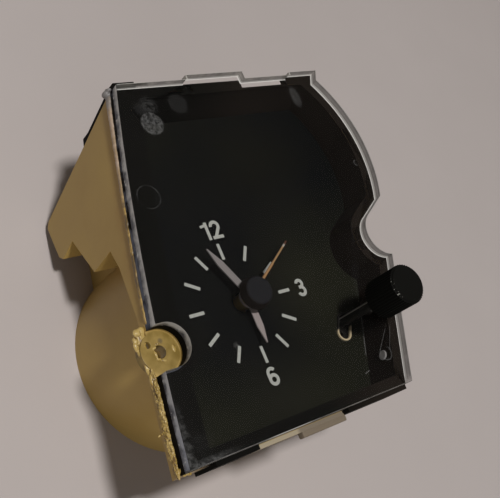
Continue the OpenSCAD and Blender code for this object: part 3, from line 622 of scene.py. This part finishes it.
ink = printed("dial_ink")
ink_high = 0.06 * mm
tick_at, tick_long, tick_wide = 16 * mm, 5 * mm, 1.0 * mm
bpy.ops.object.select_all(action="DESELECT")
bpy.ops.mesh.primitive_cube_add(size=1, location=(0, tick_at, dial_top + ink_high / 2),
                                scale=(tick_wide, tick_long, ink_high))
tick = bpy.context.object
bpy.ops.object.transform_apply(location=True, rotation=False, scale=True)
bpy.ops.object.mode_set(mode="EDIT")
bpy.ops.mesh.select_all(action="SELECT")
bpy.ops.mesh.bevel(offset=0.04 * mm, segments=2, affect="EDGES")
bpy.ops.object.mode_set(mode="OBJECT")
ticks = [tick]
for hour in range(1, 12):
    again = bpy.data.objects.new("tick", tick.data.copy())
    if hour == 3:
        shorter = 0.84
        moved = Matrix.Translation((0, tick_at * (1 - shorter), 0))
        again.data.transform(moved @ Matrix.Scale(shorter, 4, (0, 1, 0)))
    again.data.transform(Matrix.Rotation(-math.radians(30 * hour), 4, "Z"))
    bpy.context.scene.collection.objects.link(again)
    ticks.append(again)


def printed_piece(parts, name):
    """Parts of one print, joined, inked and fixed to the dial."""
    bpy.ops.object.select_all(action="DESELECT")
    for part in parts:
        part.select_set(True)
    piece = parts[0]
    bpy.context.view_layer.objects.active = piece
    bpy.ops.object.join()
    piece.name = name
    piece.data.materials.clear()
    piece.data.materials.append(ink)
    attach(piece, "case")


printed_piece(ticks, "dial_ticks")


def pick(piece, chosen):
    """Opens a piece for editing with only the chosen corners selected."""
    bpy.ops.object.mode_set(mode="EDIT")
    bpy.ops.mesh.select_mode(type="VERT")
    bpy.ops.mesh.select_all(action="DESELECT")
    bpy.ops.object.mode_set(mode="OBJECT")
    for corner in piece.data.vertices:
        corner.select = chosen(corner.co)
    bpy.ops.object.mode_set(mode="EDIT")


def stroke(start, heading, wide, moves, layer=0):
    """One pen stroke in mm: (length,) goes straight on, (radius, degrees) turns, to the left if positive.
    A stroke that crosses another lies one layer higher."""
    way = math.radians(heading)
    x, y = start
    nib = 0.02 * mm
    bpy.ops.object.select_all(action="DESELECT")
    bpy.ops.mesh.primitive_plane_add(size=1, location=(x * mm, y * mm, dial_top), rotation=(0, 0, way))
    piece = bpy.context.object
    piece.scale = (nib, wide * mm, 1)
    bpy.ops.object.transform_apply(location=True, rotation=True, scale=True)
    pick(piece, lambda at: (at.x - x * mm) * math.cos(way) + (at.y - y * mm) * math.sin(way) > 0)
    bpy.ops.mesh.select_mode(type="EDGE")
    for move in moves:
        if len(move) == 1:
            step = (move[0] * math.cos(way), move[0] * math.sin(way))
            bpy.ops.mesh.extrude_region_move(TRANSFORM_OT_translate={"value": (step[0] * mm, step[1] * mm, 0)})
            x, y = x + step[0], y + step[1]
        else:
            side = math.copysign(move[0], move[1])
            hub = (x - side * math.sin(way), y + side * math.cos(way))
            turn = math.radians(move[1])
            bpy.ops.mesh.spin(steps=max(6, int(abs(move[1]) / 8)), angle=-turn, axis=(0, 0, 1),
                              center=(hub[0] * mm, hub[1] * mm, dial_top))
            way += turn
            x, y = hub[0] + side * math.sin(way), hub[1] - side * math.cos(way)
    bpy.ops.mesh.select_all(action="SELECT")
    bpy.ops.mesh.remove_doubles(threshold=1e-6)
    high = ink_high * (1 + 0.12 * layer)
    bpy.ops.mesh.extrude_region_move(TRANSFORM_OT_translate={"value": (0, 0, high)})
    bpy.ops.mesh.select_all(action="SELECT")
    bpy.ops.mesh.normals_make_consistent(inside=False)
    bpy.ops.object.mode_set(mode="OBJECT")
    return piece


pen = 1.0
twelve = (-1.5, 20.05)
three = (20.75, -3.15)
six = (-1.9, -25.3)
printed_piece([
    stroke(twelve, 90, pen, [(5.6,)]),
    stroke((twelve[0] - 2.0, twelve[1] + 4.4), 10, 0.8, [(2.0,)], 1),
    stroke((twelve[0] + 1.65, twelve[1] + 3.95), 90, pen, [(1.3, -215), (3.25,)]),
    stroke((twelve[0] + 1.1, twelve[1] + 0.5), 0, pen, [(3.75,)], 1)], "dial_number_12")
printed_piece([
    stroke((three[0] + 0.76, three[1] + 4.33), 75, pen, [(1.08, -255), (0.5,)]),
    stroke((three[0] + 1.8, three[1] + 2.97), 0, pen, [(1.25, -252)], 1)], "dial_number_3")
printed_piece([
    stroke((six[0] + 0.55, six[1] + 1.8), 270, pen, [(1.3, 356)]),
    stroke((six[0] + 0.55, six[1] + 1.7), 90, pen, [(2.0,), (1.3, -145)], 1)], "dial_number_6")

# Hands and cap
# Thin stamped hands in matt paint on nested tubes: white hour and minute hands, an orange
# second hand, and a black cap pressed over them.
for node, light, dark in (("hour_hand", paint(131, 121, 118), paint(122, 112, 109)),
                          ("minute_hand", paint(116, 110, 108), paint(106, 100, 98))):
    hand = rounded_copy(node, node + "_blade", 0.06 * mm)
    hand.data.materials.append(moulded(node + "_paint", light, dark, 0.6, 1500, 0.03, 0.15))
second_way = math.radians(56)
ahead = Vector((math.sin(second_way), math.cos(second_way), 0))
aside = Vector((math.cos(second_way), -math.sin(second_way), 0))


def second_paint(name):
    """Tan paint with orange edges, a bare white spot near the end and a brown tip."""
    made, place = start_finish(name)
    x, y = axes(place)[:2]
    along = x * (ahead.x / mm) + y * (ahead.y / mm)
    across = abs(x * (aside.x / mm) + y * (aside.y / mm))
    wear = noise(place, 1200.0, 2.0)
    colour = between(spread(across + wear * 0.1, 0.34, 0.22), paint(118, 76, 36), paint(134, 107, 74))
    colour = between(spread(along, 20.2, 20.8), colour, paint(152, 145, 137))
    close_finish({
        "Base Color": between(spread(along, 21.3, 21.7), colour, paint(66, 36, 18)),
        "Roughness": 0.5 + wear * 0.15,
        "Specular IOR Level": 0.2,
    })
    return made


hand = rounded_copy("second_hand", "second_hand_blade", 0.06 * mm)
hub, half_tip, narrowed = 2.5 * mm, 0.38 * mm, 0.27 * mm
for side in (1, -1):
    pick(hand, lambda at: at.dot(aside) * side > half_tip and at.dot(ahead) > hub)
    bpy.ops.transform.translate(value=aside * (-narrowed * side))
    bpy.ops.object.mode_set(mode="OBJECT")
hand.data.materials.append(second_paint("second_paint"))


def cap_plastic(name):
    """Black plastic, dusty blue-grey in front; the brownish tone down its side is painted warm bounce light."""
    made, place = start_finish(name)
    z = axes(place)[2]
    dust = noise(place, 700.0, 3.0)
    front = between(spread(dust, 0.35, 0.7), paint(20, 20, 22), paint(26, 26, 28))
    # The brownish side below the front is painted warm bounce light.
    close_finish({
        "Base Color": between(spread(z, 55.2 * mm, 55.7 * mm), paint(21, 16, 13), front),
        "Roughness": 0.6 + dust * 0.15,
        "Normal": bumped(dust, 0.05, 0.0001),
        "Specular IOR Level": 0.06,
    })
    return made


cap = rounded_copy("hand_cap", "hand_cap_dome", 0.35 * mm, 3)
cap_waist, cap_draw = 54.2 * mm, 0.88
pick(cap, lambda at: at.z > cap_waist)
bpy.ops.transform.resize(value=(cap_draw, cap_draw, 1), center_override=(0, 0, cap_waist))
bpy.ops.object.mode_set(mode="OBJECT")
cap.data.materials.append(cap_plastic("cap_plastic"))

# Setting knob
# A ribbed black knob pressed on a blackened steel shaft, which slides in a cream bush in the dial.
set_at = (33.21, -13.89)


def black_shaft(name):
    """Blackened steel, with a painted highlight: a pale line along the side towards twelve."""
    made, place = start_finish(name)
    x, y = axes(place)[:2]
    side = (x / mm - set_at[0]) * -0.75 + (y / mm - set_at[1]) * 0.66
    # A painted highlight: a pale line along the shaft's side towards twelve.
    bright = spread(side, 1.47, 1.49)
    tool = streaked(place, (200.0, 200.0, 4000.0))
    close_finish({
        "Base Color": between(bright, between(tool, paint(24, 23, 21), paint(34, 33, 30)), paint(196, 191, 181)),
        "Metallic": 0.2 + tool * 0.1,
        "Roughness": 0.3 + tool * 0.08,
        "Specular IOR Level": 0.2,
    })
    return made


dress(black_shaft("black_shaft"), "set_shaft")


def bush_plastic(name):
    """Pale plastic, with painted shade in black at its upper end, where the shaft and knob shade it, and below the
    dial.
    """
    made, place = start_finish(name)
    y, z = axes(place)[1:]
    tint = noise(place, 500.0, 2.0)
    # Painted shade: black at the bush's upper end and in its recess below the dial.
    bush_shade = spread(y, -16.4 * mm, -15.7 * mm).or_more(spread(z, dial_top - 0.1 * mm, dial_top - 0.4 * mm))
    pale = between(tint, paint(158, 140, 108), paint(178, 163, 134))
    close_finish({
        "Base Color": between(bush_shade, pale, paint(16, 14, 11)),
        "Roughness": 0.4 + tint * 0.15,
        "Specular IOR Level": 0.15,
    })
    return made


bush = rounded_copy("shaft_bush", "shaft_bush_eye", 0.2 * mm)
bush.data.materials.append(bush_plastic("bush_plastic"))


def knob_plastic(name):
    """Black plastic with a few pale specks along its front rim, on the side towards nine o'clock."""
    made, place = start_finish(name)
    x, z = axes(place)[::2]
    grain = noise(place, 3500.0, 2.0)
    colour = between(grain, paint(9, 9, 7), paint(14, 14, 12))
    # Pale specks on the front rim, only on its side towards nine o'clock.
    rim = spread(away(place, set_at), 5.15, 5.4) * spread(z, 75.2 * mm, 75.4 * mm)
    facing = spread(x, 29.0 * mm, 28.2 * mm)
    rim_specks = rim * facing * spread(noise(place, 1900.0, 2.0), 0.62, 0.66)
    close_finish({
        "Base Color": between(rim_specks, colour, paint(134, 132, 124)),
        "Roughness": 0.55 + grain * 0.1,
        "Normal": bumped(grain, 0.08, 0.00008),
        "Specular IOR Level": 0.04,
    })
    return made


knob = rounded_copy("set_knob", "set_knob_grip", 0.1 * mm)
knob.data.materials.append(knob_plastic("knob_plastic"))

# Lens
# A clear acrylic plate glued on the mask's flange. Its faces are polished and a little marked,
# its sawn edges are frosted and catch the light, and the bore for the shaft is clear.
lens_back, lens_front = 57.0, 60.0
lens_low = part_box("lens")[0].y


def scratch(place, start, end, wide):
    """A line between two points in mm on the plan, as a mask."""
    x, y = axes(place)[:2]
    run = (end[0] - start[0], end[1] - start[1])
    long = run[0] ** 2 + run[1] ** 2
    right, up = x / mm - start[0], y / mm - start[1]
    part = ((right * run[0] + up * run[1]) / long).held()
    off_x, off_y = right - part * run[0], up - part * run[1]
    gap = place.sum("SQRT", off_x * off_x + off_y * off_y, 0.0)
    return spread(gap, wide, wide * 0.3)


def ring(place, middle, radius, wide):
    """A circle on the plan, as a mask."""
    return spread(abs(away(place, middle) - radius), wide, wide * 0.3)


def lens_face(name):
    """Polished acrylic: nearly clear, with frost, prints, rings and scratches on its front, and two painted
    highlights.
    """
    made, place = start_finish(name)
    x, y, z = axes(place)
    haze = noise(place, 40.0, 2.0)
    mottle = spread(noise(place, 520.0, 6.0, 0.7), 0.4, 0.62)
    fine = noise(place, 1500.0, 3.0)
    crisp = spread(noise(place, 800.0, 6.0, 0.75), 0.43, 0.57)
    strokes = streaked(place, (900.0, 110.0, 1.0))
    frost = spread(away(place, (-15.4, 51.8)), 3.7, 3.2) * (0.2 + crisp * 0.8) * 0.085
    # The last two spots, by the knob's base and over the shaft's bush, are painted highlights.
    for middle, outer, inner, white in (((-14.2, 57.4), 3.4, 1.5, crisp * 0.03),
                                        ((-17.3, 56.5), 2.6, 1.0, 0.01),
                                        ((-4.3, 57.2), 3.4, 2.8, 0.003 + fine * 0.014),
                                        ((-38.6, -33.6), 4.2, 1.0, 0.002 + mottle * 0.006),
                                        ((33.0, -10.9), 0.6, 0.3, 0.09),
                                        ((31.6, -15.5), 0.55, 0.25, 0.2)):
        frost = frost + spread(away(place, middle), outer, inner) * white
    thumb, narrow, tall = (0.0404, 0.0558), 0.8, 0.42
    print_place = place.add("Mapping", {}, {
        "Vector": place, "Location": (-thumb[0] * narrow, -thumb[1] * tall, 0.0), "Scale": (narrow, tall, 0.0)})
    frost = frost + spread(away(print_place, (0, 0)), 1.75, 1.1) * (0.01 + strokes * 0.035)
    broken = spread(noise(place, 300.0, 2.0), 0.35, 0.65)
    for middle, radius, wide, white in (((-25.7, 30.7), 3.4, 0.16, broken * 0.06),
                                        ((52.9, 30.6), 0.9, 0.14, spread(x, 53.6 * mm, 52.4 * mm) * 0.12),
                                        ((29.9, -28.4), 2.1, 0.12, spread(y, -26.6 * mm, -27.4 * mm) * 0.09)):
        frost = frost + ring(place, middle, radius, wide) * white
    for begins, ends, wide, white in (((43.8, 22.2), (22.05, -27.6), 0.12, 0.015),
                                      ((32.6, -1.1), (28.9, -10.0), 0.14, 0.025),
                                      ((24.5, -22.1), (22.4, -27.1), 0.16, 0.08),
                                      ((19.3, -31.9), (21.2, -31.4), 0.12, 0.14),
                                      ((31.9, -27.8), (36.0, -21.4), 0.13, 0.06),
                                      ((28.2, -27.2), (33.6, -21.9), 0.13, 0.06)):
        frost = frost + scratch(place, begins, ends, wide) * white
    ragged = edge_radius - away(place, edge_middle) + (mottle - 0.5) * 1.6
    rub = spread(ragged, 2.0, 0.5) * spread(y, -22 * mm, -32 * mm)
    rub = rub + spread(y, -36.6 * mm, -37.8 * mm) * spread(x, -28 * mm, -36 * mm)
    frost = frost + rub.held() * (0.012 + crisp * 0.06)
    frost = frost * spread(z, (lens_front - 1) * mm, (lens_front - 0.5) * mm)
    marked = spread(frost, 0.0, 0.01)
    close_clear(0.002 + haze * 0.004 + frost, {
        "Base Color": between(mottle, paint(214, 212, 208), paint(232, 231, 229)),
        "Roughness": 0.45 + marked * 0.2,
        "Metallic": 1.0 - marked,
    })
    return made


def grey(value):
    """The warm grey of a sawn edge."""
    return paint(value, value - 3, value - 9)


def lens_edge(name):
    """Sawn acrylic, with painted highlights for the light the edge gathers: a white line at the back corner,
    grey between, pale at the front; mottled on the left and dull along the bottom."""
    made, place = start_finish(name)
    x, y, z = axes(place)
    frost = noise(place, 500.0, 4.0)
    streak = streaked(place, (160.0, 160.0, 3000.0))
    height = (z / mm - lens_back) / (lens_front - lens_back) + (streak - 0.5) * 0.12
    # The bands by height are painted highlights and painted shade in the sawn edge.
    shade = height.add("ValToRGB", {"stops": [
        (0.0, grey(205)), (0.22, grey(196)), (0.32, grey(104)), (0.62, grey(112)), (0.8, grey(88)),
        (0.9, grey(176)), (1.0, grey(168))]}, {0: height})
    left = spread(x, -19 * mm, -21.5 * mm) * spread(y, lens_low + 0.15 * mm, lens_low + 0.5 * mm)
    patch = noise(place, 260.0, 4.0, 0.6)
    pale = between(spread(y, -10 * mm, -36 * mm), paint(178, 176, 172), paint(146, 150, 160))
    rim = between(spread(height * 0.7 + patch * 1.4, 0.8, 1.2), paint(64, 66, 74), pale)
    rim = between(spread(noise(place, 700.0, 3.0), 0.62, 0.7), rim, paint(186, 185, 182))
    # A pale band of painted highlight along the top edge.
    top = spread(y, 60 * mm, 63 * mm) * spread(height, 0.3, 0.4)
    shade = between(top * spread(patch, 0.35, 0.6) * 0.7, shade, paint(178, 172, 162))
    clean = spread(x, -20 * mm, -17 * mm) * spread(x, -3 * mm, -6 * mm)
    # Along the bottom the painted highlights are dimmed, less so over a stretch left of the middle.
    low = spread(y, -36 * mm, -38 * mm) * (1.0 - clean * 0.7)
    shade = between(low * (0.65 + spread(patch, 0.4, 0.6) * 0.3), shade, grey(58))
    cover = (0.6 + frost * 0.35).or_more(left * 0.92).or_more(top * spread(x, -9 * mm, -11 * mm) * 0.97)
    close_clear(cover * (1.0 - low * 0.35), {
        "Base Color": between(left, shade, rim),
        "Roughness": 0.3 + frost * 0.3,
        "Specular IOR Level": 0.3,
    })
    return made


def lens_bore(name):
    """Drilled acrylic, nearly clear."""
    made, place = start_finish(name)
    frost = noise(place, 800.0, 3.0)
    close_clear(0.04 + frost * 0.08, {
        "Base Color": between(frost, paint(110, 106, 100), paint(150, 146, 140)),
        "Roughness": 0.3 + frost * 0.2,
    })
    return made


lens = rounded_copy("lens", "lens_plate", 0.25 * mm)
for finish in (lens_face("lens_face"), lens_edge("lens_edge"), lens_bore("lens_bore")):
    lens.data.materials.append(finish)
face, sawn, bore = range(3)
by_bore = 5 * mm
for side in lens.data.polygons:
    from_shaft = math.hypot(side.center.x - set_at[0] * mm, side.center.y - set_at[1] * mm)
    if abs(side.normal.z) > 0.98 or (side.normal.z > 0.3 and side.center.x < -19 * mm):
        side.material_index = face
    else:
        side.material_index = bore if from_shaft < by_bore else sawn

# Studio
# A pale floor under the clock, one soft lamp above, a wide weak one low at the seven o'clock side,
# and a dim even room.
bpy.ops.object.select_all(action="DESELECT")
bpy.ops.mesh.primitive_plane_add(size=1.4, location=(0, 0, 0))
floor = bpy.context.object
floor.name = "studio_floor"
made, place = start_finish("floor_paper")
close_finish({"Base Color": between(noise(place, 30.0, 2.0), paint(170, 161, 157), paint(166, 157, 153)),
              "Roughness": 0.85})
floor.data.materials.append(made)
lamp_away = 1.2
for toward, wide, energy in ((Vector((-0.19, -0.03, 0.98)), 0.12, 12.5), (Vector((-0.4, -0.88, 0.18)), 1.2, 4.2)):
    toward = toward.normalized()
    bpy.ops.object.light_add(type="AREA", location=toward * lamp_away)
    lamp = bpy.context.object
    lamp.data.shape = "DISK"
    lamp.data.size = wide
    lamp.data.energy = energy
    lamp.rotation_euler = toward.to_track_quat("Z", "Y").to_euler()
room = bpy.data.worlds.new("room")
room.use_nodes = True
room.node_tree.nodes.clear()
air = Flow(room.node_tree)
seen = air.add("LightPath", {}, {}, "Is Camera Ray")
for ray in ("Is Glossy Ray", "Is Transmission Ray"):
    seen = seen.or_more(air.add("LightPath", {}, {}, ray))
shown = air.add("Background", {}, {"Color": paint(168, 160, 156), "Strength": 1.0})
given = air.add("Background", {}, {"Color": (1.0, 0.97, 0.94, 1.0), "Strength": 0.13})
air.add("OutputWorld", {}, {"Surface": air.add("MixShader", {}, {0: seen, 1: given, 2: shown})})
bpy.context.scene.world = room
bpy.context.scene.view_settings.view_transform = "Standard"

# Camera
# Looks down on the dial from the eight o'clock side, turned as the photograph is held.
eye = Vector((-0.154503, -0.043870, 0.244618))
aim = Vector((0.010484, 0.014846, 0.046))
held_turned = Matrix.Rotation(math.radians(51.7075), 3, "Z").to_quaternion()
bpy.ops.object.camera_add(location=eye)
camera = bpy.context.object
camera.rotation_mode = "QUATERNION"
camera.rotation_quaternion = (aim - eye).to_track_quat("-Z", "Y") @ held_turned
camera.data.lens = 64.8
camera.data.sensor_width = 36.0
bpy.context.scene.camera = camera
